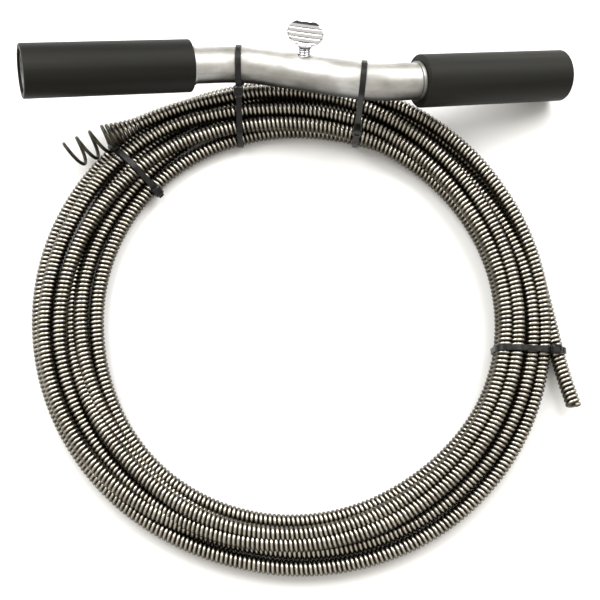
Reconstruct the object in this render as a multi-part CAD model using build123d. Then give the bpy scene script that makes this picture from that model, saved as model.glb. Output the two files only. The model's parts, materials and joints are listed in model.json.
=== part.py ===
from build123d import *
import math
import os

# Hand drain auger, stored: a coil of wound-wire cable with its crank handle tied on top of it.
# Millimetres, +Z up. The ground is z = 0, and the origin is under the middle of the handle.

# ---- driving dimensions: the cable ----
CABLE_DIAMETER = 9.5
COIL_CENTRE = (-5.7, -141.7)      # middle of the coil's outside
COIL_OUTER_RADIUS = 162.0
COIL_EYE_CENTRE = (-2.2, -146.7)  # middle of the open eye, a little off the outside's
COIL_EYE_RADIUS = 117.5
COIL_TOP = 17.6                   # where one turn lies on two others
COIL_EDGE_RADIUS = 4.6

# The two stretches that leave the coil: the one to the auger head and the cut tail.
LEAD_ROUTE = [(-66.1, -5.7, 13.0), (-80.1, -10.3, 14.0), (-93.5, -15.9, 15.2), (-106.2, -22.5, 16.6)]
TAIL_ROUTE = [(150.8, -144.3, 6.0), (154.0, -163.7, 6.2), (158.0, -182.9, 7.2), (162.9, -201.3, 9.0)]

# ---- driving dimensions: the auger head, formed from the cable's own wire ----
WIRE_DIAMETER = 2.0
HEAD_DIRECTION = (-0.872, -0.482, 0.085)
BELL_LENGTH = 19.0
BELL_MEAN_RADIUS = 8.4
BELL_WALL = 2.4
BELL_NECK_LENGTH = 7.6
BELL_NECK_FLARE = 1.6   # how much wider than the cable the neck ends
SPIRAL_PITCH = 8.5
SPIRAL_TURNS = 3.1

# ---- driving dimensions: the crank handle ----
TUBE_RADIUS = 11.1
TUBE_WALL = 1.5
ARM_TILT = -18.3        # degrees below the horizontal, both arms alike
ARM_HEADING = 11.4      # degrees from +X
OFFSET_TILT = 18.0      # the slanted middle length between the two bends
OFFSET_HEADING = -18.1
LEFT_BEND = (-36.76, 13.14, 30.0)
LEFT_ARM_LENGTH = 136.0
OFFSET_LENGTH = 86.2
BEND_RADIUS = 38.0
LIP_RADIUS = 12.6       # the flared tube ends, which keep the grips on
LIP_LENGTH = 1.4
BEAD_RADIUS = 12.0      # the swaged bead that each grip's inner end runs against
BEAD_WIDTH = 2.0
BEAD_GAP = 0.5

GRIP_LENGTH = 101.5
GRIP_RADIUS = 16.0
GRIP_CLEARANCE = 0.35
GRIP_RIM_RADIUS = 0.8
LIP_RECESS = 1.4        # from the grip's outer end in to the tube's end

# ---- driving dimensions: the thumb screw, 5/16 in coarse thread ----
SCREW_RADIUS = 3.97
SCREW_HOLE_RADIUS = 4.05
SCREW_OFFSET = -2.5     # along the slanted length from its middle
SCREW_TIP = 4.0         # the tip's height over the tube's axis
COLLAR_RADIUS = 5.8
COLLAR_BOTTOM = 7.2
PADDLE_BOTTOM = 15.7    # heights over the tube's axis
PADDLE_TOP = 32.6
PADDLE_WIDTH = 23.6
PADDLE_THICKNESS = 3.2
PADDLE_ROUNDING = 0.9
STUD_CHAMFER = 0.8
SOCKET_WALL = 1.3
SOCKET_CROWN = 2.0      # how far the socket runs on past the spigot
SPIGOT_RADIUS = 2.6
SPIGOT_BORE_RADIUS = 2.68
SPIGOT_LENGTH = 6.0
SPIGOT_END_GAP = 0.4

# ---- driving dimensions: the nylon ties ----
STRAP_THICKNESS = 1.2
STRAP_WIDTH = 3.6
LOCK_LENGTH = 6.4
LOCK_WIDTH = 5.4
LOCK_HEIGHT = 3.6
LEFT_HANDLE_TIE_X = -40.3
RIGHT_HANDLE_TIE_X = 34.8
LEFT_COIL_TIE_HEADING = 135.2
RIGHT_COIL_TIE_Y = -165.7
TAIL_OVERHANG = 4.8     # the tail lies this far outside the coil where the right tie crosses it

CABLE_RADIUS = CABLE_DIAMETER / 2
COIL_BOTTOM = STRAP_THICKNESS


def heading_vector(tilt, heading):
    """The unit vector at these angles in degrees: tilt over the horizontal, heading from +X."""
    level = math.cos(math.radians(tilt))
    turned = math.radians(heading)
    return Vector(level * math.cos(turned), level * math.sin(turned), math.sin(math.radians(tilt)))


ARM = heading_vector(ARM_TILT, ARM_HEADING)
OFFSET = heading_vector(OFFSET_TILT, OFFSET_HEADING)
SCREW_AXIS = OFFSET.cross(ARM).normalized()  # square to the crank's plane, outwards

# The right grip's rim stands on the ground, which sets how far the right arm reaches.
RIM_DROP = (GRIP_RADIUS - GRIP_RIM_RADIUS) * math.hypot(ARM.X, ARM.Y) + GRIP_RIM_RADIUS * (1 + ARM.Z)
BEND_1 = Vector(*LEFT_BEND)
BEND_2 = BEND_1 + OFFSET * OFFSET_LENGTH
RIGHT_GRIP_REACH = (BEND_2.Z - RIM_DROP) / -ARM.Z
LEFT_GRIP_END = BEND_1 - ARM * (LEFT_ARM_LENGTH + LIP_RECESS)
RIGHT_GRIP_END = BEND_2 + ARM * RIGHT_GRIP_REACH
TUBE_LEFT_END = BEND_1 - ARM * LEFT_ARM_LENGTH
TUBE_RIGHT_END = RIGHT_GRIP_END - ARM * LIP_RECESS
SCREW_BASE = BEND_1 + OFFSET * (OFFSET_LENGTH / 2 + SCREW_OFFSET)


def plane_at(origin, z_dir, x_dir=None):
    """A plane there whose local Z is z_dir."""
    return Plane(origin=origin, x_dir=x_dir, z_dir=z_dir)


def rod(origin, direction, start, end, radius):
    """A plain round bar from start to end along direction."""
    bar = extrude(Circle(radius), end - start)
    return plane_at(origin + direction * start, direction) * bar


def turned_ring(origin, direction, start, end, outer, inner):
    """A washer-shaped ring from start to end along direction."""
    ring = extrude(Circle(outer) - Circle(inner), end - start)
    return plane_at(origin + direction * start, direction) * ring


def swept_round(path, radius):
    """A round bar along a path."""
    start = path.edges()[0]
    section = plane_at(start.position_at(0), start.tangent_at(0)) * Circle(radius)
    return sweep(section, path=path)


def cable_path(route):
    """Straight runs joined by tangent arcs, each as large as its two runs allow."""
    points = [Vector(*p) for p in route]
    radii = []
    for before, corner, after in zip(points, points[1:], points[2:]):
        turn = math.radians((corner - before).get_angle(after - corner))
        shorter = min((corner - before).length, (after - corner).length)
        radii.append(0.45 * shorter / math.tan(turn / 2))
    print("arc radii", [round(r) for r in radii])
    return FilletPolyline(*points, radius=radii)


def make_stretch(route):
    """A free stretch of cable, checked against its section times its length."""
    path = cable_path(route)
    stretch = swept_round(path, CABLE_RADIUS)
    expected = math.pi * CABLE_RADIUS**2 * path.length
    print("stretch volume over section times length", round(stretch.volume / expected, 4))
    return stretch


def make_coil():
    """The outer shape of the wound turns: a flat ring with rounded edges."""
    ring = Pos(*COIL_CENTRE) * Circle(COIL_OUTER_RADIUS) - Pos(*COIL_EYE_CENTRE) * Circle(COIL_EYE_RADIUS)
    body = Pos(0, 0, COIL_BOTTOM) * extrude(ring, COIL_TOP - COIL_BOTTOM)
    return fillet(body.edges(), COIL_EDGE_RADIUS)


def make_auger_head():
    """The closed bell that the wire widens into, and the open spiral at its end, as one piece."""
    outer_end = BELL_MEAN_RADIUS + BELL_WALL / 2
    neck = CABLE_RADIUS + BELL_NECK_FLARE
    bell = Polyline(
        (CABLE_RADIUS - BELL_WALL, 0),
        (CABLE_RADIUS, 0),
        (neck, BELL_NECK_LENGTH),
        (outer_end, BELL_LENGTH),
        (outer_end - BELL_WALL, BELL_LENGTH),
        (neck - BELL_WALL, BELL_NECK_LENGTH),
        close=True,
    )
    bell = revolve(Plane.XZ * make_face(bell), Axis.Z)
    helix = Helix(pitch=SPIRAL_PITCH, height=SPIRAL_PITCH * SPIRAL_TURNS, radius=BELL_MEAN_RADIUS)
    helix = Pos(0, 0, BELL_LENGTH - WIRE_DIAMETER) * helix
    wire = sweep(plane_at(helix @ 0, helix % 0) * Circle(WIRE_DIAMETER / 2), path=helix)
    place = plane_at(Vector(*LEAD_ROUTE[-1]), Vector(*HEAD_DIRECTION), (0, 0, 1))
    return place * (bell + wire)


def make_handle_tube():
    """The bent tube, with flared ends, two stop beads and a tapped collar for the thumb screw."""
    path = FilletPolyline(TUBE_LEFT_END, BEND_1, BEND_2, TUBE_RIGHT_END, radius=BEND_RADIUS)
    outside = swept_round(path, TUBE_RADIUS)
    tube = outside - swept_round(path, TUBE_RADIUS - TUBE_WALL)
    bore = TUBE_RADIUS - TUBE_WALL
    bead_start = GRIP_LENGTH + BEAD_GAP
    for end, inward in ((LEFT_GRIP_END, ARM), (RIGHT_GRIP_END, -ARM)):
        lip_end = LIP_RECESS + LIP_LENGTH
        tube += turned_ring(end, inward, LIP_RECESS, lip_end, LIP_RADIUS, bore)
        tube += turned_ring(end, inward, bead_start, bead_start + BEAD_WIDTH, BEAD_RADIUS, bore)
    collar = rod(SCREW_BASE, SCREW_AXIS, COLLAR_BOTTOM, TUBE_RADIUS + 1, COLLAR_RADIUS)
    tube += collar & outside
    return tube - rod(SCREW_BASE, SCREW_AXIS, 0, TUBE_RADIUS + 5, SCREW_HOLE_RADIUS)


def make_grip(end, inward):
    """A loose sleeve on one arm, from its outer end inwards, recessed for the tube's flared lip."""
    bore = TUBE_RADIUS + GRIP_CLEARANCE
    sleeve = turned_ring(end, inward, 0, GRIP_LENGTH, GRIP_RADIUS, bore)
    rims = sleeve.edges().filter_by(GeomType.CIRCLE).sort_by(lambda e: e.radius)[-2:]
    sleeve = fillet(rims, GRIP_RIM_RADIUS)
    recess = LIP_RECESS + LIP_LENGTH + GRIP_CLEARANCE
    return sleeve - rod(end, inward, -1, recess, LIP_RADIUS + GRIP_CLEARANCE)


def make_screw_stud():
    """The threaded stud, with a blunt tip that bears on the cable and a spigot for the paddle."""
    stud = rod(SCREW_BASE, SCREW_AXIS, SCREW_TIP, PADDLE_BOTTOM, SCREW_RADIUS)
    tip = stud.edges().filter_by(GeomType.CIRCLE).sort_by_distance(SCREW_BASE)[0]
    stud = chamfer(tip, STUD_CHAMFER)
    return stud + rod(SCREW_BASE, SCREW_AXIS, PADDLE_BOTTOM, PADDLE_BOTTOM + SPIGOT_LENGTH, SPIGOT_RADIUS)


def make_screw_head():
    """The flat oval paddle with its short round socket, square to the screw's axis."""
    height = PADDLE_TOP - PADDLE_BOTTOM
    upright = Plane(origin=SCREW_BASE, x_dir=OFFSET, z_dir=OFFSET.cross(SCREW_AXIS))
    middle = (PADDLE_BOTTOM + PADDLE_TOP) / 2
    oval = Pos(0, middle) * Ellipse(PADDLE_WIDTH / 2, height / 2)
    paddle = upright * extrude(oval, PADDLE_THICKNESS / 2, both=True)
    paddle = fillet(paddle.edges(), PADDLE_ROUNDING)
    socket_end = PADDLE_BOTTOM + SPIGOT_LENGTH + SOCKET_CROWN
    socket = rod(SCREW_BASE, SCREW_AXIS, PADDLE_BOTTOM, socket_end, SPIGOT_BORE_RADIUS + SOCKET_WALL)
    bore_end = PADDLE_BOTTOM + SPIGOT_LENGTH + SPIGOT_END_GAP
    return paddle + socket - rod(SCREW_BASE, SCREW_AXIS, PADDLE_BOTTOM - 1, bore_end, SPIGOT_BORE_RADIUS)


def strap_loop(profile, plane, lock_at, lock_angle):
    """A one-piece tie: a band round the profile and its lock, which lock_at and lock_angle place."""
    band = offset(profile, STRAP_THICKNESS) - profile
    tie = extrude(band, STRAP_WIDTH / 2, both=True)
    lock = Pos(*lock_at) * Rot(0, 0, lock_angle) * Rectangle(LOCK_LENGTH, LOCK_HEIGHT)
    tie += extrude(lock, LOCK_WIDTH / 2, both=True)
    return plane * tie


def coil_span(point, direction):
    """How far the coil's inner and outer walls lie from point along a level direction."""
    spans = []
    for centre, radius in ((COIL_EYE_CENTRE, COIL_EYE_RADIUS), (COIL_CENTRE, COIL_OUTER_RADIUS)):
        across = Vector(point[0] - centre[0], point[1] - centre[1])
        along = across.dot(direction)
        spans.append(-along + math.sqrt(along**2 - across.dot(across) + radius**2))
    return spans


def coil_section(inner, outer):
    """The coil's section in a tie's own plane: x is outwards across the ring and y is up."""
    height = COIL_TOP - COIL_BOTTOM
    middle = ((inner + outer) / 2, (COIL_TOP + COIL_BOTTOM) / 2)
    return Pos(*middle) * RectangleRounded(outer - inner, height, COIL_EDGE_RADIUS)


def make_coil_tie(point, heading, beyond):
    """A tie round the coil and whatever reaches beyond it, upright through point at this heading."""
    outwards = heading_vector(0, heading)
    inner, outer = coil_span(point, outwards)
    outer += beyond
    plane = Plane(origin=(point[0], point[1], 0), x_dir=outwards, z_dir=outwards.cross(Vector(0, 0, 1)))
    lock_at = (outer + LOCK_HEIGHT / 2, (COIL_TOP + COIL_BOTTOM) / 2)
    return strap_loop(coil_section(inner, outer), plane, lock_at, 90)


def inner_slope_rise(edge):
    """How far a straight edge of a tie's outline climbs outwards from the coil's inside."""
    run = edge @ 1 - edge @ 0
    return abs(run.Y) if run.X * run.Y > 0 else 0


def make_handle_tie(x):
    """A tie round the coil and the tube, in the upright plane at x, locked over the coil's inside."""
    middle = COIL_CENTRE[1]
    inner, outer = coil_span((x, middle), Vector(0, 1, 0))
    share = (x - BEND_1.X) / OFFSET.X
    axis = BEND_1 + OFFSET * share if share > 0 else BEND_1 + ARM * ((x - BEND_1.X) / ARM.X)
    plane = Plane(origin=(x, middle, 0), x_dir=(0, 1, 0), z_dir=(1, 0, 0))
    tube = Pos(axis.Y - middle, axis.Z) * Circle(TUBE_RADIUS)
    hull = make_hull(tube.edges() + coil_section(inner, outer).edges())
    slope = max(hull.edges().filter_by(GeomType.LINE), key=inner_slope_rise)
    middle_up = slope @ 0.5
    lean = math.degrees(math.atan2(abs(slope.tangent_at(0).Y), abs(slope.tangent_at(0).X)))
    outwards = LOCK_HEIGHT / 2
    tilt = math.radians(lean)
    lock_at = (middle_up.X - outwards * math.sin(tilt), middle_up.Y + outwards * math.cos(tilt))
    return strap_loop(hull, plane, lock_at, lean)


parts = {
    "cable_coil": make_coil(),
    "cable_lead": make_stretch(LEAD_ROUTE),
    "cable_tail": make_stretch(TAIL_ROUTE),
    "auger_head": make_auger_head(),
    "handle_tube": make_handle_tube(),
    "left_grip": make_grip(LEFT_GRIP_END, ARM),
    "right_grip": make_grip(RIGHT_GRIP_END, -ARM),
    "thumb_screw_stud": make_screw_stud(),
    "thumb_screw_head": make_screw_head(),
    "left_handle_tie": make_handle_tie(LEFT_HANDLE_TIE_X),
    "right_handle_tie": make_handle_tie(RIGHT_HANDLE_TIE_X),
    "left_coil_tie": make_coil_tie(COIL_EYE_CENTRE, LEFT_COIL_TIE_HEADING, 0),
    "right_coil_tie": make_coil_tie((COIL_EYE_CENTRE[0], RIGHT_COIL_TIE_Y), 0, TAIL_OVERHANG),
}

os.makedirs("parts", exist_ok=True)
for name, shape in parts.items():
    export_step(shape, f"parts/{name}.step")

# What the record quotes.
handle = Compound([parts[n] for n in ("handle_tube", "left_grip", "right_grip", "thumb_screw_head")])
box = handle.bounding_box()
bend_tangent = BEND_RADIUS * math.tan(math.radians(ARM.get_angle(OFFSET)) / 2)
print("handle middle", box.center(), "size", box.size, "bottom", round(box.min.Z, 3))
print("arm direction", ARM, "screw axis", SCREW_AXIS)
print("left grip end", LEFT_GRIP_END, "right grip end", RIGHT_GRIP_END, "screw base", SCREW_BASE)
print("tube ends", TUBE_LEFT_END, TUBE_RIGHT_END)
print("straight bores", LEFT_ARM_LENGTH - bend_tangent, RIGHT_GRIP_REACH - LIP_RECESS - bend_tangent)
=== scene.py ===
import bpy
import json
import math
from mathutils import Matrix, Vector


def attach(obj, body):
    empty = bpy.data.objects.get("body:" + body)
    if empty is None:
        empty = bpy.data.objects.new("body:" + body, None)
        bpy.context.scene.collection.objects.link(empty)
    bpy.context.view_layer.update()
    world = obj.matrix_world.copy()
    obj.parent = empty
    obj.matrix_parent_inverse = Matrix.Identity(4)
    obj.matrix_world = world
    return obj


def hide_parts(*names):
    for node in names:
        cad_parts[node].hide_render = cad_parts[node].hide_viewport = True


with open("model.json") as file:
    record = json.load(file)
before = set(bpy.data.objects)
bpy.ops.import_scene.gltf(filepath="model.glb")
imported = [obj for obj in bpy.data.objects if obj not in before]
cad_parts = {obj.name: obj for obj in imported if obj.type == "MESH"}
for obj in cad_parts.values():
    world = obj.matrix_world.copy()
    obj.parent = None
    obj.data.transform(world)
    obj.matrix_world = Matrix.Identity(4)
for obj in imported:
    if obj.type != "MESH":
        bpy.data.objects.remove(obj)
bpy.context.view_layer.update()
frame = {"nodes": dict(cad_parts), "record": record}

# Hand drain auger, stored: a coil of wound-wire cable with its crank handle tied on top of it.
# The sizes below are in millimetres unless they say otherwise, and MM turns them into the frame's metres.
MM = 0.001
UP = Vector((0, 0, 1))

CABLE_DIAMETER = 9.5
CABLE_RADIUS = CABLE_DIAMETER / 2
WIRE_PITCH = 2.75
WIRE_RADIUS = 1.0

# The free stretches of the cable, in metres, as they are in the CAD model.
LEAD_METRES = [
    (-0.0661, -0.0057, 0.0130),
    (-0.0801, -0.0103, 0.0140),
    (-0.0935, -0.0159, 0.0152),
    (-0.1062, -0.0225, 0.0166),
]
TAIL_METRES = [
    (0.1508, -0.1443, 0.0060),
    (0.1540, -0.1637, 0.0062),
    (0.1580, -0.1829, 0.0072),
    (0.1629, -0.2013, 0.0090),
]
LEAD_ROUTE = [tuple(value / MM for value in point) for point in LEAD_METRES]
TAIL_ROUTE = [tuple(value / MM for value in point) for point in TAIL_METRES]

# The coil. Each row is one turn, clockwise from the handle's side: how far its centre line is from
# the coil's centre at twelve headings, and whether it lies there on the turns of the lower layer.
COIL_CENTRE = (-6.56, -148.26)
FIRST_HEADING = 100.0
HEADINGS = 12
TURN_RADII = [
    (152.2, 146.7, 140.6, 138.2, 136.4, 133.5, 133.0, 134.9, 139.0, 143.2, 142.2, 138.9),
    (130.0, 128.0, 129.6, 130.4, 128.0, 121.8, 120.6, 121.2, 121.6, 121.0, 124.1, 126.8),
    (127.0, 129.0, 138.0, 140.0, 137.0, 132.2, 128.8, 127.0, 126.0, 129.4, 133.9, 135.9),
    (143.5, 146.5, 146.4, 147.9, 146.0, 142.3, 138.5, 136.5, 145.8, 151.8, 152.6, 152.4),
    (139.7, 137.2, 131.2, 130.8, 128.9, 126.2, 127.0, 128.6, 129.6, 136.0, 142.6, 149.2),
    (150.5, 157.0, 155.0, 155.2, 154.6, 151.8, 147.9, 146.0, 150.2, 155.6, 160.4, 161.0),
    (158.5, 155.8, 154.5, 155.5),
]
TURN_LAYERS = [
    "111111111111",
    "110000000000",
    "000000000100",
    "000110001111",
    "111111111000",
    "011100000000",
    "0000",
]
BASE_HEIGHT = 6.0       # the lower layer's centre line over the floor
MOST_RISE = 8.9         # the most that an upper turn lies over it
HEIGHT_SMOOTHING = 2    # passes
STEPS_PER_TURN = 24


def eased(values, place):
    """The values read at a fractional place, on a smooth curve through them."""
    first = min(max(math.floor(place), 0), len(values) - 2)
    share = place - first
    a, b = values[first], values[first + 1]
    slope_a = (b - values[max(first - 1, 0)]) / 2
    slope_b = (values[min(first + 2, len(values) - 1)] - a) / 2
    square, cube = share * share, share * share * share
    return (2 * cube - 3 * square + 1) * a + (cube - 2 * square + share) * slope_a \
        + (3 * square - 2 * cube) * b + (cube - square) * slope_b


def turns_round(point):
    """A point's heading round the coil's centre, in turns clockwise from the first heading."""
    degrees = math.degrees(math.atan2(point[1] - COIL_CENTRE[1], point[0] - COIL_CENTRE[0]))
    return (FIRST_HEADING - degrees) / 360


def smoothed(values, passes):
    """The values with each inner one averaged with its neighbours, this many times."""
    for _ in range(passes):
        inner = [(a + 2 * b + c) / 4 for a, b, c in zip(values, values[1:], values[2:])]
        values = [values[0], *inner, values[-1]]
    return values


def coil_route():
    """The coil's points from the head's side to the tail's, the upper turns resting on the lower."""
    radii = [radius for row in TURN_RADII for radius in row]
    layers = [int(layer) for row in TURN_LAYERS for layer in row]
    start = turns_round(LEAD_ROUTE[0]) + 1 / STEPS_PER_TURN
    end = len(TURN_RADII) - 1 + turns_round(TAIL_ROUTE[0]) - 1 / STEPS_PER_TURN
    count = round((end - start) * STEPS_PER_TURN)
    places = [start + (end - start) * i / count for i in range(count + 1)]
    heights = []
    for place in places:
        radius = eased(radii, place * HEADINGS)
        rise = 0
        if layers[min(max(round(place * HEADINGS), 0), len(layers) - 1)]:
            for turn in range(-len(TURN_RADII), len(TURN_RADII) + 1):
                other = (place + turn) * HEADINGS
                if turn and 0 <= other <= len(radii) - 1 and not layers[round(other)]:
                    apart = abs(eased(radii, other) - radius)
                    if apart < CABLE_DIAMETER:
                        rise = max(rise, math.sqrt(CABLE_DIAMETER**2 - apart**2))
        heights.append(BASE_HEIGHT + min(rise, MOST_RISE))
    heights = smoothed(heights, HEIGHT_SMOOTHING)
    points = []
    for place, height in zip(places, heights):
        turned = math.radians(FIRST_HEADING - place * 360)
        radius = eased(radii, place * HEADINGS)
        x = COIL_CENTRE[0] + radius * math.cos(turned)
        y = COIL_CENTRE[1] + radius * math.sin(turned)
        points.append((x, y, height))
    return points


def smooth_line(name, points, steps):
    """Points along the smooth curve that these points steer, close together, in millimetres."""
    curve = bpy.data.curves.new(name, "CURVE")
    curve.dimensions = "3D"
    curve.resolution_u = steps
    spline = curve.splines.new("NURBS")
    spline.points.add(len(points) - 1)
    for target, point in zip(spline.points, points):
        target.co = (*point, 1)
    spline.order_u = 3
    spline.use_endpoint_u = True
    carrier = bpy.data.objects.new(name, curve)
    mesh = bpy.data.meshes.new_from_object(carrier)
    line = [vertex.co.copy() for vertex in mesh.vertices]
    bpy.data.meshes.remove(mesh)
    bpy.data.objects.remove(carrier)
    bpy.data.curves.remove(curve)
    return line


class Path:
    """A line of points that can be read at any distance along it."""

    def __init__(self, line):
        self.line = line
        self.along = [0.0]
        for a, b in zip(line, line[1:]):
            self.along.append(self.along[-1] + (b - a).length)
        self.length = self.along[-1]
        self.last = 0

    def at(self, distance):
        """The point, the direction and the level sideways direction at this distance."""
        while self.last > 0 and self.along[self.last] > distance:
            self.last -= 1
        while self.last < len(self.line) - 2 and self.along[self.last + 1] < distance:
            self.last += 1
        i = self.last
        share = (distance - self.along[i]) / (self.along[i + 1] - self.along[i])
        before = self.direction(i)
        after = self.direction(i + 1)
        ahead = before.lerp(after, min(max(share, 0), 1)).normalized()
        aside = ahead.cross(UP).normalized()
        return self.line[i] + (self.line[i + 1] - self.line[i]) * share, ahead, aside

    def direction(self, i):
        """The line's direction at one of its points."""
        return (self.line[min(i + 1, len(self.line) - 1)] - self.line[max(i - 1, 0)]).normalized()


# ---- building meshes ----
def make_object(name, points, faces, material, smooth=True):
    """A mesh object from points in millimetres."""
    mesh = bpy.data.meshes.new(name)
    mesh.from_pydata([(p[0] * MM, p[1] * MM, p[2] * MM) for p in points], [], faces)
    mesh.validate()
    mesh.update()
    mesh.polygons.foreach_set("use_smooth", [smooth] * len(mesh.polygons))
    mesh.materials.append(material)
    made = bpy.data.objects.new(name, mesh)
    bpy.context.scene.collection.objects.link(made)
    return made


def keep_sharp(made, pairs):
    """Marks the edges between these pairs of points as sharp."""
    pairs = set(pairs)
    sharp = [tuple(sorted(edge.vertices)) in pairs for edge in made.data.edges]
    made.data.edges.foreach_set("use_edge_sharp", sharp)


WIRE_STEPS = 12         # round one turn of the wire
# from one groove over the crest towards the next: the share of the pitch, and the height over the crest
WIRE_PROFILE = ((0.0, -1.15), (0.24, -0.27), (0.5, 0.0), (0.76, -0.27))
# how light each profile point is painted: the groove darkest, as painted shade; the crest lightest, from
# rubbing
WIRE_WEAR_AND_SHADE = (0.0, 0.42, 1.0, 0.42)


def wound_wire(name, path, material):
    """A closed skin over wire wound right-handed along a path: rounded ridges between sharp grooves."""
    points = []
    faces = []
    across = len(WIRE_PROFILE)
    distance = 0.0
    starts = []
    while distance < path.length:
        starts.append(distance)
        distance += WIRE_PITCH / WIRE_STEPS
    for i, here in enumerate(starts):
        angle = 2 * math.pi * i / WIRE_STEPS
        for share, height in WIRE_PROFILE:
            centre, ahead, aside = path.at(min(here + share * WIRE_PITCH, path.length))
            upwards = aside.cross(ahead)
            reach = CABLE_RADIUS + height
            points.append(centre + (aside * math.cos(angle) - upwards * math.sin(angle)) * reach)
    last = len(starts) - WIRE_STEPS - 1
    for i in range(last):
        for j in range(across):
            a = i * across + j
            b = a + across
            if j + 1 < across:
                faces.append((a, b, b + 1, a + 1))
            else:
                c = (i + WIRE_STEPS) * across
                faces.append((a, b, c + across, c))
    turn = range(WIRE_STEPS + 1)
    first_groove = [i * across for i in reversed(turn)]
    last_groove = [(last + i) * across for i in turn]
    faces.append((*first_groove, *range(1, across)))
    faces.append((*last_groove, *[last * across + j for j in reversed(range(1, across))]))
    grooves = [(i * across, (i + 1) * across) for i in range(len(starts) - 1)]
    made = make_object(name, points, faces, material)
    keep_sharp(made, grooves)
    return made


def sweep(name, rings, material):
    """A solid through rings of points, with its ends filled."""
    count = len(rings[0])
    points = [point for ring in rings for point in ring]
    faces = []
    for i in range(len(rings) - 1):
        here = i * count
        there = here + count
        for j in range(count):
            k = (j + 1) % count
            faces.append((here + j, here + k, there + k, there + j))
    faces.append(tuple(reversed(range(count))))
    faces.append(tuple(range(len(points) - count, len(points))))
    return make_object(name, points, faces, material)


# ---- materials ----
# The wire's colours along its stored point value: the dark stops paint shade in the grooves and on the sides,
# and the light stop is the rubbed crests with their painted highlight.
WIRE_TINTS = [
    (0.16, (0.035, 0.03, 0.022)),
    (0.24, (0.055, 0.047, 0.035)),
    (0.6, (0.14, 0.124, 0.096)),
    (1.0, (0.6, 0.57, 0.5)),
]
ZINC_TINTS = [(0.34, (0.33, 0.325, 0.3)), (0.5, (0.52, 0.51, 0.485)), (0.66, (0.78, 0.78, 0.77))]
GRIP_TINTS = [(0.42, (0.009, 0.009, 0.0075)), (0.62, (0.016, 0.016, 0.0135)), (0.75, (0.03, 0.03, 0.026))]
SCREW_TINTS = [(0.2, (0.06, 0.06, 0.07)), (0.8, (0.5, 0.5, 0.51)), (1.0, (0.82, 0.82, 0.83))]
NYLON_TINTS = [(0.3, (0.006, 0.006, 0.006)), (0.7, (0.013, 0.013, 0.013))]
FLOOR_TINTS = [(0.3, (0.88, 0.88, 0.87)), (0.7, (0.91, 0.91, 0.9))]
SKY_TINTS = [(0.08, (0.12, 0.12, 0.12)), (0.24, (1.0, 0.965, 0.91))]


def new_material(name, base, metallic, roughness):
    """A material with its shader's even values set, and the node lists that build the rest of it."""
    material = bpy.data.materials.new(name)
    material.use_nodes = True
    nodes = material.node_tree.nodes
    shader = nodes["Principled BSDF"]
    shader.inputs["Base Color"].default_value = (*base, 1)
    shader.inputs["Metallic"].default_value = metallic
    shader.inputs["Roughness"].default_value = roughness
    return material, nodes, material.node_tree.links, shader


def noise(nodes, links, scale, detail, stretch=(1, 1, 1), turn=(0, 0, 0)):
    """A noise texture's output, in the object's own metres, stretched along its axes."""
    place = nodes.new("ShaderNodeTexCoord")
    mapping = nodes.new("ShaderNodeMapping")
    mapping.vector_type = "TEXTURE"
    mapping.inputs["Scale"].default_value = stretch
    mapping.inputs["Rotation"].default_value = turn
    texture = nodes.new("ShaderNodeTexNoise")
    texture.inputs["Scale"].default_value = scale
    texture.inputs["Detail"].default_value = detail
    links.new(place.outputs["Object"], mapping.inputs["Vector"])
    links.new(mapping.outputs["Vector"], texture.inputs["Vector"])
    return texture.outputs["Fac"]


def ramp(nodes, links, source, stops):
    """The source's value, read through a colour ramp."""
    node = nodes.new("ShaderNodeValToRGB")
    while len(node.color_ramp.elements) < len(stops):
        node.color_ramp.elements.new(0.5)
    for element, (place, colour) in zip(node.color_ramp.elements, stops):
        element.position = place
        element.color = (*colour, 1)
    links.new(source, node.inputs["Fac"])
    return node.outputs["Color"]


def grey(value):
    """An even grey."""
    return (value, value, value)


def add_bump(nodes, links, shader, source, strength, distance):
    """Relief on the shader from a height source."""
    bump = nodes.new("ShaderNodeBump")
    bump.inputs["Strength"].default_value = strength
    bump.inputs["Distance"].default_value = distance
    links.new(source, bump.inputs["Height"])
    links.new(bump.outputs["Normal"], shader.inputs["Normal"])


def wire_steel():
    """Dark oiled spring wire: painted shade in the grooves, and crests lighter from rubbing and from a painted
    highlight where they face upwards.
    """
    material, nodes, links, shader = new_material("wire_steel", (0.2, 0.18, 0.15), 1.0, 0.3)
    # the stored point value, carrying painted shade and painted highlight, mixed below with random patches
    crest = nodes.new("ShaderNodeAttribute")
    crest.attribute_name = "crest"
    patches = noise(nodes, links, 70, 3)
    tone_and_light = nodes.new("ShaderNodeMath")
    tone_and_light.operation = "MULTIPLY_ADD"
    links.new(patches, tone_and_light.inputs[0])
    tone_and_light.inputs[1].default_value = 0.4
    links.new(crest.outputs["Fac"], tone_and_light.inputs[2])
    tint = ramp(nodes, links, tone_and_light.outputs[0], WIRE_TINTS)
    links.new(tint, shader.inputs["Base Color"])
    fine = noise(nodes, links, 500, 2)
    links.new(ramp(nodes, links, fine, [(0.3, grey(0.26)), (0.7, grey(0.42))]), shader.inputs["Roughness"])
    add_bump(nodes, links, shader, fine, 0.1, 0.0001)
    return material


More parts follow.
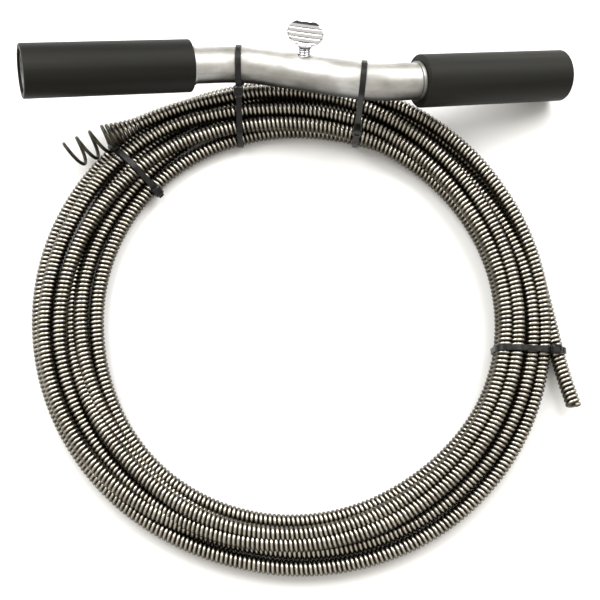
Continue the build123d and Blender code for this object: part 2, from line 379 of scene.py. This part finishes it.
def tube_zinc():
    """Dull zinc plate: soft mottling, and painted shade on its underside."""
    material, nodes, links, shader = new_material("tube_zinc", (0.5, 0.5, 0.5), 1.0, 0.3)
    mottle = noise(nodes, links, 55, 5, (1.8, 1, 1))
    facing = nodes.new("ShaderNodeNewGeometry")
    parts = nodes.new("ShaderNodeSeparateXYZ")
    links.new(facing.outputs["Normal"], parts.inputs[0])
    # painted shade: the colour darkens where the surface faces down
    underside_shade = ramp(nodes, links, parts.outputs["Z"], [(0.05, grey(0.12)), (0.4, grey(0.5)), (0.62, grey(1))])
    mixed = nodes.new("ShaderNodeMix")
    mixed.data_type = "RGBA"
    mixed.blend_type = "MULTIPLY"
    mixed.inputs["Factor"].default_value = 1
    links.new(ramp(nodes, links, mottle, ZINC_TINTS), mixed.inputs["A"])
    links.new(underside_shade, mixed.inputs["B"])
    links.new(mixed.outputs["Result"], shader.inputs["Base Color"])
    links.new(ramp(nodes, links, mottle, [(0.3, grey(0.54)), (0.7, grey(0.36))]), shader.inputs["Roughness"])
    add_bump(nodes, links, shader, noise(nodes, links, 160, 3), 0.25, 0.0004)
    return material


def grip_plastic():
    """Smooth dark olive-black sleeve with faint streaks along its length."""
    material, nodes, links, shader = new_material("grip_plastic", (0.013, 0.013, 0.011), 0.0, 0.42)
    turn = (0, math.radians(18.3), math.radians(11.4))      # along the handle's arms
    streaks = noise(nodes, links, 60, 3, (30, 1, 1), turn)
    links.new(ramp(nodes, links, streaks, GRIP_TINTS), shader.inputs["Base Color"])
    shader.inputs["Specular IOR Level"].default_value = 0.12
    links.new(ramp(nodes, links, streaks, [(0.3, grey(0.42)), (0.7, grey(0.58))]), shader.inputs["Roughness"])
    add_bump(nodes, links, shader, noise(nodes, links, 700, 2), 0.12, 0.0002)
    return material


def screw_zinc():
    """Bright zinc plate, a little rubbed, with painted shade in its grooves."""
    material, nodes, links, shader = new_material("screw_zinc", (0.75, 0.75, 0.74), 1.0, 0.24)
    # the stored point value, carrying painted shade and painted highlight, mixed below with the rubbing
    crest = nodes.new("ShaderNodeAttribute")
    crest.attribute_name = "crest"
    rub = noise(nodes, links, 260, 3)
    tone_and_light = nodes.new("ShaderNodeMath")
    tone_and_light.operation = "MULTIPLY_ADD"
    links.new(rub, tone_and_light.inputs[0])
    tone_and_light.inputs[1].default_value = 0.35
    links.new(crest.outputs["Fac"], tone_and_light.inputs[2])
    links.new(ramp(nodes, links, tone_and_light.outputs[0], SCREW_TINTS), shader.inputs["Base Color"])
    links.new(ramp(nodes, links, rub, [(0.3, grey(0.3)), (0.7, grey(0.18))]), shader.inputs["Roughness"])
    add_bump(nodes, links, shader, rub, 0.08, 0.0001)
    return material


def tie_nylon():
    """Black nylon with a soft shine."""
    material, nodes, links, shader = new_material("tie_nylon", (0.008, 0.008, 0.008), 0.0, 0.3)
    shader.inputs["Specular IOR Level"].default_value = 0.3
    grain = noise(nodes, links, 300, 3)
    links.new(ramp(nodes, links, grain, NYLON_TINTS), shader.inputs["Base Color"])
    links.new(ramp(nodes, links, grain, [(0.3, grey(0.24)), (0.7, grey(0.4))]), shader.inputs["Roughness"])
    add_bump(nodes, links, shader, noise(nodes, links, 900, 2), 0.1, 0.0002)
    return material


WIRE_STEEL = wire_steel()
TUBE_ZINC = tube_zinc()
GRIP_PLASTIC = grip_plastic()
SCREW_ZINC = screw_zinc()
TIE_NYLON = tie_nylon()


# Painted light on stored point values: faces pointing sideways or down keep the side share, as painted shade,
# and the share rises to the whole over this span of upward facing, as painted highlight.
UPWARD_LIGHT_SPAN = 0.35
SIDE_SHADE_LEVEL = 0.2


def mark_wear_and_light(made, crests, least=0.4):
    """Stores each point's value for its material: the given value, cut to a share where the point faces
    sideways or down, as painted shade, and whole where it faces upwards, as painted highlight.
    """
    attribute = made.data.attributes.new("crest", "FLOAT", "POINT")
    for i, vertex in enumerate(made.data.vertices):
        facing = min(max((vertex.normal.z - least) / UPWARD_LIGHT_SPAN, 0), 1)
        attribute.data[i].value = crests[i % len(crests)] * (SIDE_SHADE_LEVEL + (1 - SIDE_SHADE_LEVEL) * facing)


# ---- the cable ----
LINE_STEPS = 6          # of the smooth line, from one point of the route to the next
route = [*reversed(LEAD_ROUTE), *coil_route(), *TAIL_ROUTE]
centreline = smooth_line("cable_line", route, LINE_STEPS)
cable_path = Path(centreline)
cable = wound_wire("cable", cable_path, WIRE_STEEL)
mark_wear_and_light(cable, WIRE_WEAR_AND_SHADE)
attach(cable, "handle_and_coil")
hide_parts("cable_coil", "cable_lead", "cable_tail")

# ---- the auger head: the wire widens into a closed bell, then opens into a spiral ----
HEAD_DIRECTION = Vector((-0.872, -0.482, 0.085)).normalized()
WOUND_RADIUS = CABLE_RADIUS - WIRE_RADIUS
BELL_LENGTH = 19.0
BELL_MEAN_RADIUS = 8.4
BELL_FLARE = 1.25       # 1 would be a plain cone
BELL_PITCH = 2.75
SPIRAL_PITCH = 9.0
SPIRAL_TURNS = 3.1
SPREAD_TURNS = 0.25     # over which the pitch opens from the bell's to the spiral's
SPIRAL_DROOP = Vector((-0.05, 0.1, -0.24))
DROOP_START = 0.3       # of the bell's length
HEAD_STEPS = 22
HEAD_SIDES = 10
HEAD_WIRE_RADIUS = 1.12
# The head's painted light: the level is whole on the bell and fades to nothing along the spiral, and faces
# pointing upwards past the least facing take a painted highlight.
HEAD_LIGHT_LEVEL = 0.9
HEAD_LEAST_FACING = 0.62


def head_wire():
    """The head's wire as one closed, swept piece."""
    start = Vector(LEAD_ROUTE[-1])
    aside = HEAD_DIRECTION.cross(UP).normalized()
    line = []
    axes = []
    light_levels = []
    place = -WIRE_PITCH
    middle = start - HEAD_DIRECTION * WIRE_PITCH
    angle = 0.0
    turned = 0.0
    while turned < SPIRAL_TURNS:
        grown = min(max(place / BELL_LENGTH, 0), 1)
        radius = WOUND_RADIUS + (BELL_MEAN_RADIUS - WOUND_RADIUS) * grown**BELL_FLARE
        spread = min(turned / SPREAD_TURNS, 1)
        pitch = BELL_PITCH + (SPIRAL_PITCH - BELL_PITCH) * spread
        drooped = min(max(place / BELL_LENGTH - DROOP_START, 0), 1)
        axis = (HEAD_DIRECTION + SPIRAL_DROOP * drooped).normalized()
        upwards = aside.cross(axis)
        line.append(middle + (aside * math.cos(angle) - upwards * math.sin(angle)) * radius)
        axes.append(axis)
        light_levels.append(HEAD_LIGHT_LEVEL * (1 - drooped))
        middle = middle + axis * pitch / HEAD_STEPS
        angle += 2 * math.pi / HEAD_STEPS
        place += pitch / HEAD_STEPS
        if place > BELL_LENGTH:
            turned += 1 / HEAD_STEPS
    rings = []
    for i, centre in enumerate(line):
        ahead = (line[min(i + 1, len(line) - 1)] - line[max(i - 1, 0)]).normalized()
        out = axes[i].cross(ahead).normalized()
        over = ahead.cross(out)
        ring = []
        for j in range(HEAD_SIDES):
            round_it = 2 * math.pi * j / HEAD_SIDES
            ring.append(centre + (out * math.cos(round_it) + over * math.sin(round_it)) * HEAD_WIRE_RADIUS)
        rings.append(ring)
    made = sweep("auger_head_wire", rings, WIRE_STEEL)
    mark_wear_and_light(made, [light_level for light_level in light_levels for side in range(HEAD_SIDES)], HEAD_LEAST_FACING)
    return made


head = head_wire()
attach(head, "handle_and_coil")
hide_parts("auger_head")

# ---- the cable ties ----
STRAP_HALF_WIDTH = 1.8
STRAP_THICKNESS = 1.2
STRAP_EDGE = 0.25
STRAP_STEPS = 120
# half of the strap's outline: how far across it, and how far out from what it holds
STRAP_SIDE = (
    (STRAP_HALF_WIDTH - STRAP_EDGE, 0.0),
    (STRAP_HALF_WIDTH, STRAP_EDGE),
    (STRAP_HALF_WIDTH, STRAP_THICKNESS - STRAP_EDGE),
    (STRAP_HALF_WIDTH - STRAP_EDGE, STRAP_THICKNESS),
)
STRAP_MIRRORED = [(-side, away) for side, away in reversed(STRAP_SIDE)]
STRAP_PROFILE = (STRAP_MIRRORED[2], STRAP_MIRRORED[3], *STRAP_SIDE, STRAP_MIRRORED[0], STRAP_MIRRORED[1])
CRISP_ANGLE = math.radians(35)

TIE_REACH = 45.0        # how far from a tie's place the cable may still be inside it
DOT_RADIUS = 0.1
LOCK_SIZE = (5.6, 6.6, 4.6)     # across the strap, along it and outwards
LOCK_EDGE = 0.7
LOCK_LIFT = 1.5                 # from the strap's middle outwards
STUB_WIDTH = 3.4
STUB_THICKNESS = 1.2
STUB_EDGE = 0.2
STUB_LIFT = 2.3
STUB_START = 2.9                # along the strap, from the lock's middle
# the recess in a block's outer face: its rims' share of the face, and how deep each lies
RECESS = ((0.55, 0.0), (0.5, 0.5))
RECESS_CORNER = 0.08

# each tie's plane is upright and passes through the point named TIE; a lock sits near each point named LOCK
LEFT_HANDLE_TIE = (-40.3, 13.14, 31.0)
LEFT_HANDLE_LOCK = (-40.3, 1.5, 23.0)
RIGHT_HANDLE_TIE = (35.5, -8.7, 52.0)
RIGHT_HANDLE_LOCK = (34.1, -13.0, 22.0)
LEFT_COIL_TIE = (-104.9, -51.3, 0.0)
LEFT_COIL_ACROSS = (-0.7096, 0.7046)
LEFT_COIL_LOCK = (-118.3, -37.7, 14.0)
LEFT_COIL_SECOND_LOCK = (-93.0, -63.0, 9.0)
RIGHT_COIL_TIE = (136.0, -165.7, 0.0)
RIGHT_COIL_LOCK = (153.0, -165.9, 17.0)
# how far each tie's cut end sticks out of its lock
HANDLE_STUB = 1.0
LEFT_COIL_STUB = 2.0
RIGHT_COIL_STUB = 1.2


def crossings(point, across):
    """Where the cable passes through an upright plane: places across it and heights."""
    normal = across.cross(UP)
    found = []
    for before, after in zip(centreline, centreline[1:]):
        near = (before - point).dot(normal)
        far = (after - point).dot(normal)
        if near * far < 0:
            met = before.lerp(after, near / (near - far))
            if abs((met - point).dot(across)) < TIE_REACH:
                found.append(((met - point).dot(across), met.z, CABLE_RADIUS))
    return found


def tube_section(point, across):
    """The handle tube's section through an upright plane, as small circles round its points."""
    normal = across.cross(UP)
    mesh = frame["nodes"]["handle_tube"].data
    found = []
    for edge in mesh.edges:
        a, b = (mesh.vertices[index].co / MM for index in edge.vertices)
        near = (a - point).dot(normal)
        far = (b - point).dot(normal)
        if near * far < 0:
            met = a.lerp(b, near / (near - far))
            found.append(((met - point).dot(across), met.z, DOT_RADIUS))
    return found


def bends_inwards(a, b, c):
    """Whether the middle one of three dots lies inside the loop or on its side."""
    return (b[0] - a[0]) * (c[1] - a[1]) <= (b[1] - a[1]) * (c[0] - a[0])


def outline_of(circles):
    """The tight loop round a set of circles, as even points."""
    dots = []
    for u, w, radius in circles:
        sides = 48 if radius > DOT_RADIUS else 4
        for k in range(sides):
            turn = 2 * math.pi * k / sides
            dots.append((u + radius * math.cos(turn), w + radius * math.sin(turn)))
    dots.sort()
    loop = []
    for order in (dots, dots[::-1]):
        side = []
        for dot in order:
            while len(side) > 1 and bends_inwards(side[-2], side[-1], dot):
                side.pop()
            side.append(dot)
        loop += side[:-1]
    loop.append(loop[0])
    lengths = [math.dist(a, b) for a, b in zip(loop, loop[1:])]
    step = sum(lengths) / STRAP_STEPS
    even = []
    passed = 0.0
    for a, b, length in zip(loop, loop[1:], lengths):
        while len(even) < STRAP_STEPS and len(even) * step <= passed + length:
            share = (len(even) * step - passed) / length
            even.append((a[0] + (b[0] - a[0]) * share, a[1] + (b[1] - a[1]) * share))
        passed += length
    return even


def cut_corners(width, depth, cut_width, cut_depth):
    """The eight points of a rectangle with its corners cut off, from its half sizes."""
    corners = []
    for a, b in ((-1, -1), (1, -1), (1, 1), (-1, 1)):
        for along_width in ((False, True) if a * b > 0 else (True, False)):
            u = a * (width - (cut_width if along_width else 0))
            v = b * (depth - (0 if along_width else cut_depth))
            corners.append((u, v))
    return corners


def add_block(points, faces, middle, axes, size, edge):
    """A block with every edge cut back, and a shallow recess in its outer face."""
    first = len(points)
    half = [value / 2 for value in size]
    rings = []
    for level, inset in ((-1, edge), (-1, 0), (1, 0), (1, edge)):
        corners = cut_corners(half[0] - inset, half[1] - inset, edge, edge)
        rings.append((corners, level * (half[2] - edge + inset)))
    for share, depth in RECESS:
        cuts = (half[0] * RECESS_CORNER, half[1] * RECESS_CORNER)
        rings.append((cut_corners(half[0] * share, half[1] * share, *cuts), half[2] - depth))
    for corners, height in rings:
        for u, v in corners:
            points.append(middle + axes[0] * u + axes[1] * v + axes[2] * height)
    count = len(rings[0][0])
    for level in range(len(rings) - 1):
        here = first + level * count
        for j in range(count):
            k = (j + 1) % count
            faces.append((here + j, here + k, here + count + k, here + count + j))
    top = first + (len(rings) - 1) * count
    faces.append(tuple(first + j for j in reversed(range(count))))
    faces.append(tuple(top + j for j in range(count)))


def add_tie(name, node, point, across, holds_tube, stub_length, *lock_places):
    """A strap pulled tight round the cable, with its locks and the cut end beyond each."""
    point = Vector(point)
    across = Vector((*across, 0)).normalized()
    normal = across.cross(UP)
    held = crossings(point, across)
    if holds_tube:
        held += tube_section(point, across)
    loop = outline_of(held)
    points = []
    faces = []
    outs = []
    floor_point = Vector((point.x, point.y, 0))
    for i, (u, w) in enumerate(loop):
        ahead = Vector(loop[(i + 1) % STRAP_STEPS]) - Vector(loop[i - 1])
        out = (across * ahead[1] - UP * ahead[0]).normalized()
        outs.append(out)
        for side, away in STRAP_PROFILE:
            points.append(floor_point + across * u + UP * w + out * away + normal * side)
    count = len(STRAP_PROFILE)
    for i in range(STRAP_STEPS):
        for j in range(count):
            k = (j + 1) % count
            here = i * count
            there = (i + 1) % STRAP_STEPS * count
            faces.append((here + j, there + j, there + k, here + k))
    for lock_place in lock_places:
        target = Vector(lock_place)
        place = min(range(STRAP_STEPS), key=lambda i: (points[i * count + 4] - target).length)
        out = outs[place]
        along = normal.cross(out)
        middle = sum((points[place * count + k] for k in range(count)), Vector()) / count
        axes = (normal, along, out)
        add_block(points, faces, middle + out * LOCK_LIFT, axes, LOCK_SIZE, LOCK_EDGE)
        stub = middle + out * STUB_LIFT + along * (STUB_START + stub_length / 2)
        add_block(points, faces, stub, axes, (STUB_WIDTH, stub_length, STUB_THICKNESS), STUB_EDGE)
    tie = make_object(name, points, faces, TIE_NYLON)
    tie.data.set_sharp_from_angle(angle=CRISP_ANGLE)
    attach(tie, "handle_and_coil")
    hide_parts(node)


add_tie("left_handle_strap", "left_handle_tie", LEFT_HANDLE_TIE, (0, 1), True, HANDLE_STUB, LEFT_HANDLE_LOCK)
add_tie(
    "right_handle_strap", "right_handle_tie", RIGHT_HANDLE_TIE, (0.1, 1), True, HANDLE_STUB, RIGHT_HANDLE_LOCK
)
left_locks = (LEFT_COIL_LOCK, LEFT_COIL_SECOND_LOCK)
add_tie("left_coil_strap", "left_coil_tie", LEFT_COIL_TIE, LEFT_COIL_ACROSS, False, LEFT_COIL_STUB, *left_locks)
add_tie("right_coil_strap", "right_coil_tie", RIGHT_COIL_TIE, (1, 0), False, RIGHT_COIL_STUB, RIGHT_COIL_LOCK)

# ---- the thumb screw ----
SCREW_JOINT = next(joint for joint in frame["record"]["behaviour"]["joints"] if joint["name"] == "screw_turn")
SCREW_AXIS = Vector(SCREW_JOINT["axis"]).normalized()
SCREW_BASE = Vector([value / MM for value in SCREW_JOINT["pos_m"]])
# along the tube's slanted length, as in the CAD model
OFFSET = Vector((0.903994, -0.295471, 0.309017)).normalized()
THREAD_RADIUS = 3.95
THREAD_PITCH = 1.411
THREAD_DEPTH = 0.62
STUD_BOTTOM = 4.1
STUD_TAPER_LENGTH = 1.0
STUD_TAPER = 0.7
STUD_SIDES = 40
STUD_ROWS = 110
STUD_IN_PADDLE = 1.2
# the stud's level for painted light: faces pointing upwards get the painted highlight, the rest painted shade
STUD_LIGHT_LEVEL = 0.7
PADDLE_BOTTOM = 15.7
PADDLE_TOP = 31.9
PADDLE_HALF_WIDTH = 12.2
PADDLE_HALF_THICKNESS = 1.55
PADDLE_OUTLINE = 2.05       # the outline's power; 2 would be an ellipse
PADDLE_SIDES = 48
PADDLE_ROWS = 120
FOOT_HEIGHT = 3.5
FOOT_HALF_WIDTH = 4.6
FOOT_HALF_THICKNESS = 4.4
RIDGE_SPACING = 2.85
RIDGE_STEEPNESS = 1.7
GROOVE_THICKNESS = 0.68     # of the plate's
RIDGE_FADE = 0.12           # of the half height, over which the ridges die away at the outline
RIM_SHARE = 0.04            # of the half height, over which the outline's edge is thinned
FACE_POWER = 0.35           # flattens the two faces
EDGE_POWER = 0.8            # rounds the two long edges
CRESCENT = (0.66, 0.87)     # the plain band near the top, without ridges and with a painted dark reflection, as shares of the half height
# paddle values for painted light: the band's painted dark reflection, and painted shade in the grooves between
# the ridges
CRESCENT_REFLECTION_LEVEL = 0.05
GROOVE_SHADE_LEVEL = 0.1


def screw_point(along, out, height):
    """A point of the screw: along the tube, square to the paddle, and up the screw."""
    return SCREW_BASE + OFFSET * along + SCREW_AXIS.cross(OFFSET) * out + SCREW_AXIS * height


def make_stud():
    """The screw's threaded stud, which ends inside the paddle's foot."""
    rings = []
    for i in range(STUD_ROWS + 1):
        height = STUD_BOTTOM + (PADDLE_BOTTOM + STUD_IN_PADDLE - STUD_BOTTOM) * i / STUD_ROWS
        taper = STUD_TAPER * (1 - min((height - STUD_BOTTOM) / STUD_TAPER_LENGTH, 1))
        ring = []
        for j in range(STUD_SIDES):
            share = j / STUD_SIDES
            place = (height / THREAD_PITCH - share) % 1
            radius = THREAD_RADIUS - THREAD_DEPTH * abs(2 * place - 1) - taper
            turn = 2 * math.pi * share
            ring.append(screw_point(radius * math.cos(turn), radius * math.sin(turn), height))
        rings.append(ring)
    stud = sweep("screw_thread", rings, SCREW_ZINC)
    mark_wear_and_light(stud, (STUD_LIGHT_LEVEL,))
    return stud


def make_paddle():
    """The screw's flat thumb paddle: an oval plate with ridges pressed across both faces."""
    rings = []
    crests = []
    middle = (PADDLE_BOTTOM + PADDLE_TOP) / 2
    half_height = (PADDLE_TOP - PADDLE_BOTTOM) / 2
    for i in range(PADDLE_ROWS + 1):
        height = middle - half_height * math.cos(math.pi * i / PADDLE_ROWS)
        reach = (height - middle) / half_height
        half_width = PADDLE_HALF_WIDTH * math.sqrt(max(1 - abs(reach) ** PADDLE_OUTLINE, 0.001))
        foot = max(1 - (height - PADDLE_BOTTOM) / FOOT_HEIGHT, 0)
        half_width = max(half_width, FOOT_HALF_WIDTH * min(foot * 3, 1))
        phase = math.pi * (height - PADDLE_BOTTOM) / RIDGE_SPACING
        wave = min(abs(math.sin(phase)) * RIDGE_STEEPNESS, 1)
        ridged = min(max((1 - abs(reach)) / RIDGE_FADE, 0), 1)
        crescent = CRESCENT[0] < reach < CRESCENT[1]
        if crescent:
            ridged = 0
        rim = min((1 - abs(reach)) / RIM_SHARE + 0.5, 1)
        plate = PADDLE_HALF_THICKNESS * (GROOVE_THICKNESS + (1 - GROOVE_THICKNESS) * wave * ridged) * rim
        ring = []
        for j in range(PADDLE_SIDES):
            turn = 2 * math.pi * j / PADDLE_SIDES
            flat = math.copysign(abs(math.sin(turn)) ** FACE_POWER, math.sin(turn))
            wide = math.copysign(abs(math.cos(turn)) ** EDGE_POWER, math.cos(turn))
            across_foot = math.sqrt(max(1 - (wide * half_width / FOOT_HALF_WIDTH) ** 2, 0))
            boss = across_foot * FOOT_HALF_THICKNESS * min(foot * 1.4, 1)
            out = math.copysign(max(plate * abs(flat), boss), flat)
            ring.append(screw_point(wide * half_width, out, height))
        rings.append(ring)
        # painted dark reflection on the band, painted shade in the grooves, lightest on the ridges
        light_level = CRESCENT_REFLECTION_LEVEL if crescent else GROOVE_SHADE_LEVEL + (1 - GROOVE_SHADE_LEVEL) * wave
        crests += [light_level] * PADDLE_SIDES
    paddle = sweep("screw_paddle", rings, SCREW_ZINC)
    attribute = paddle.data.attributes.new("crest", "FLOAT", "POINT")
    attribute.data.foreach_set("value", crests)
    return paddle


stud = make_stud()
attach(stud, "screw_stud")
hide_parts("thumb_screw_stud")
paddle = make_paddle()
paddle.data.set_sharp_from_angle(angle=CRISP_ANGLE)
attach(paddle, "screw_head")
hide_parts("thumb_screw_head")

for node, material in (("handle_tube", TUBE_ZINC), ("left_grip", GRIP_PLASTIC), ("right_grip", GRIP_PLASTIC)):
    frame["nodes"][node].data.materials.clear()
    frame["nodes"][node].data.materials.append(material)

# ---- the floor, the light and the camera ----
FLOOR_SIZE = 9000.0


def make_floor():
    """A plain pale floor."""
    material, nodes, links, shader = new_material("floor_white", (0.9, 0.9, 0.89), 0.0, 0.6)
    links.new(ramp(nodes, links, noise(nodes, links, 4, 2), FLOOR_TINTS), shader.inputs["Base Color"])
    half = FLOOR_SIZE / 2
    corners = [(-half, -half, 0), (half, -half, 0), (half, half, 0), (-half, half, 0)]
    return make_object("floor", corners, [(0, 1, 2, 3)], material, smooth=False)


make_floor()


PANEL_SIZE = 800.0
PANEL_WATTS = 13
PANEL_ASIDE = 620.0
PANEL_BEHIND = 480.0
PANEL_HEIGHT = 820.0
COIL_MIDDLE = (-6.0, -145.0, 0.0)
SKY_STRENGTH = 0.8


def aim(made, place, target):
    """Puts a light or a camera at a place, looking at its target."""
    made.location = Vector(place) * MM
    made.rotation_euler = (Vector(target) - Vector(place)).to_track_quat("-Z", "Y").to_euler()
    bpy.context.scene.collection.objects.link(made)


def add_panel(name, place):
    """A soft square light, aimed at the middle of the coil."""
    light = bpy.data.lights.new(name, "AREA")
    light.shape = "RECTANGLE"
    light.size = PANEL_SIZE * MM
    light.size_y = PANEL_SIZE * MM
    light.energy = PANEL_WATTS
    aim(bpy.data.objects.new(name, light), place, COIL_MIDDLE)


def add_sky():
    """A warm white dome that darkens towards the horizon."""
    world = bpy.data.worlds.new("studio")
    world.use_nodes = True
    nodes = world.node_tree.nodes
    links = world.node_tree.links
    nodes["Background"].inputs["Strength"].default_value = SKY_STRENGTH
    direction = nodes.new("ShaderNodeTexCoord")
    parts = nodes.new("ShaderNodeSeparateXYZ")
    links.new(direction.outputs["Generated"], parts.inputs[0])
    dome = ramp(nodes, links, parts.outputs["Z"], SKY_TINTS)
    links.new(dome, nodes["Background"].inputs["Color"])
    bpy.context.scene.world = world


add_panel("left_panel", (-PANEL_ASIDE, PANEL_BEHIND, PANEL_HEIGHT))
add_panel("right_panel", (PANEL_ASIDE, PANEL_BEHIND, PANEL_HEIGHT))
add_sky()
bpy.context.scene.view_settings.view_transform = "Standard"

CAMERA_PLACE = (-2.16, -272.8, 609.0)
CAMERA_TARGET = (-2.16, -132.16, 0.0)
lens = bpy.data.cameras.new("camera")
lens.lens = 60
lens.sensor_width = 36
lens.clip_start = 0.01
lens.clip_end = 20
camera = bpy.data.objects.new("camera", lens)
aim(camera, CAMERA_PLACE, CAMERA_TARGET)
bpy.context.scene.camera = camera
